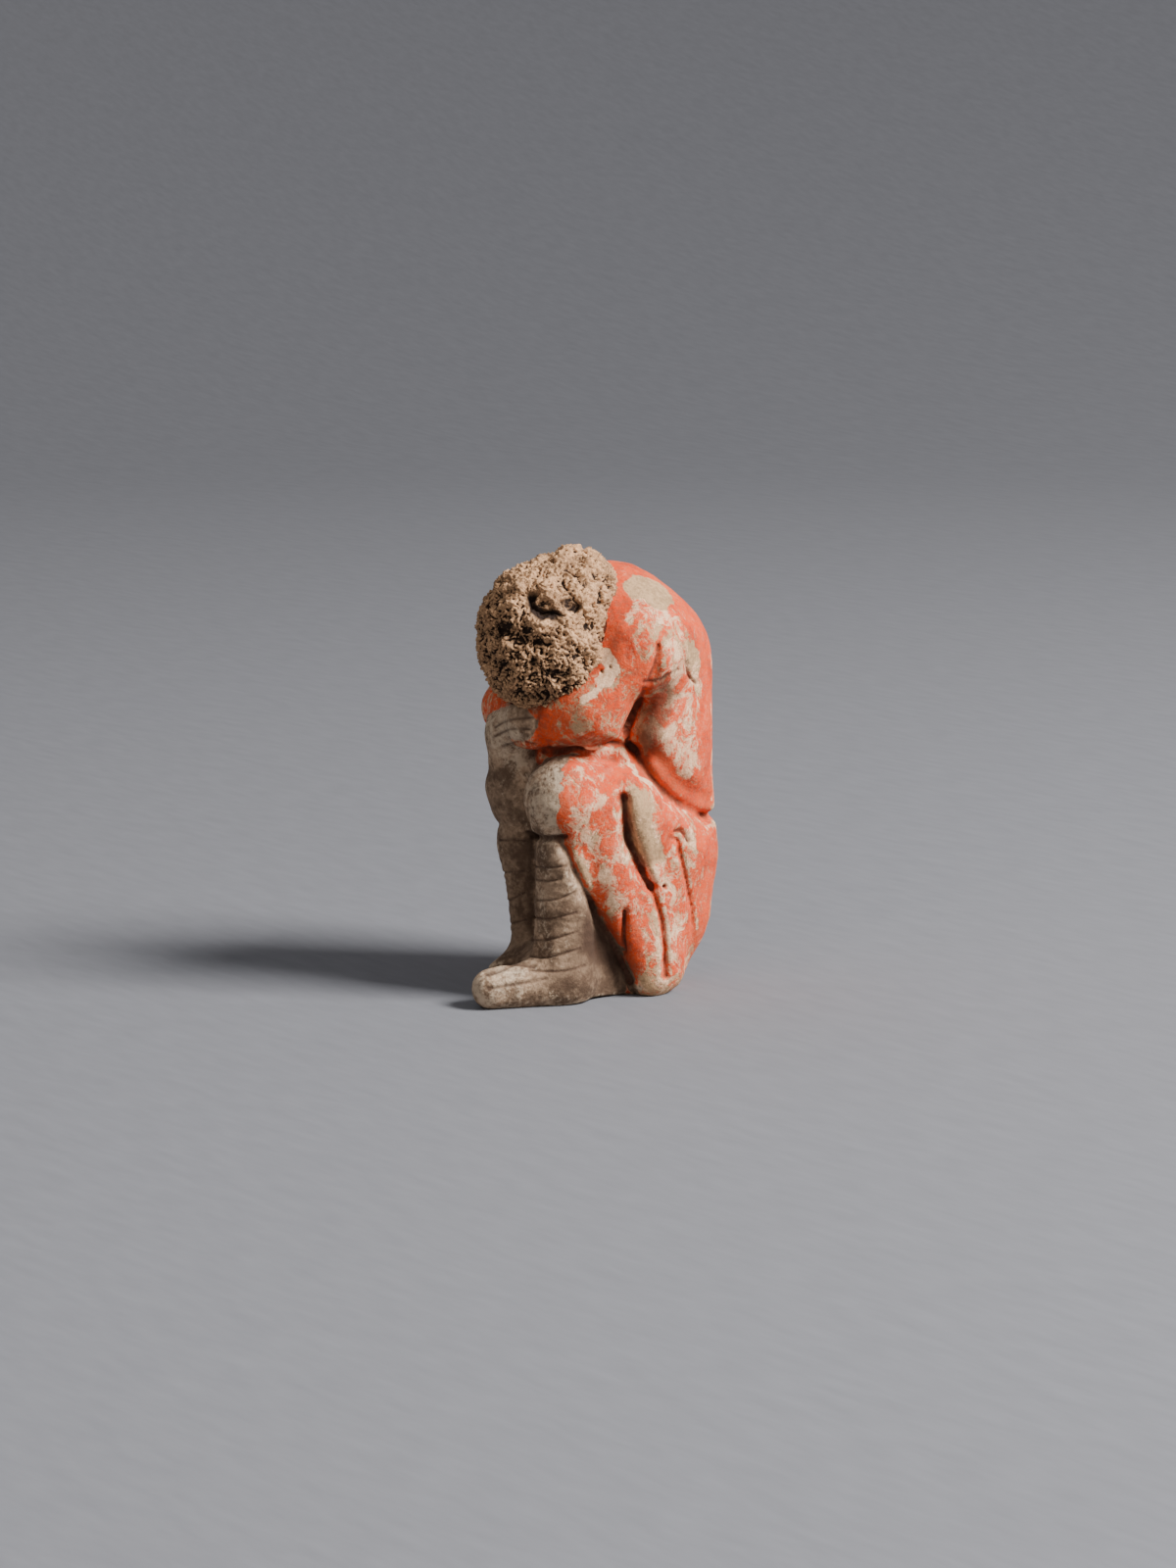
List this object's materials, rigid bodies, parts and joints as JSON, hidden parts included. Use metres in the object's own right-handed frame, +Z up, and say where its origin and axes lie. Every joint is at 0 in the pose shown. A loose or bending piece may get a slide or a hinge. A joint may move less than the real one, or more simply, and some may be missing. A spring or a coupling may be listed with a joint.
{
  "type": "sleeping youth figurine",
  "caption": "Small painted fired-clay figure of a squatting youth asleep: knees drawn up, arms folded over them, head laid down on the arms.",
  "frame": {"origin": "middle of the figure's box, on the ground it stands on", "axes": "+Z up, the youth faces -Y, the youth's left side is towards +X"},
  "size_m": [0.0386, 0.0556, 0.0862],
  "materials": {
    "painted_clay": "matte, worn paint over clay"
  },
  "bodies": {
    "root": {"sleeping_youth": "painted_clay"}
  },
  "joints": []
}
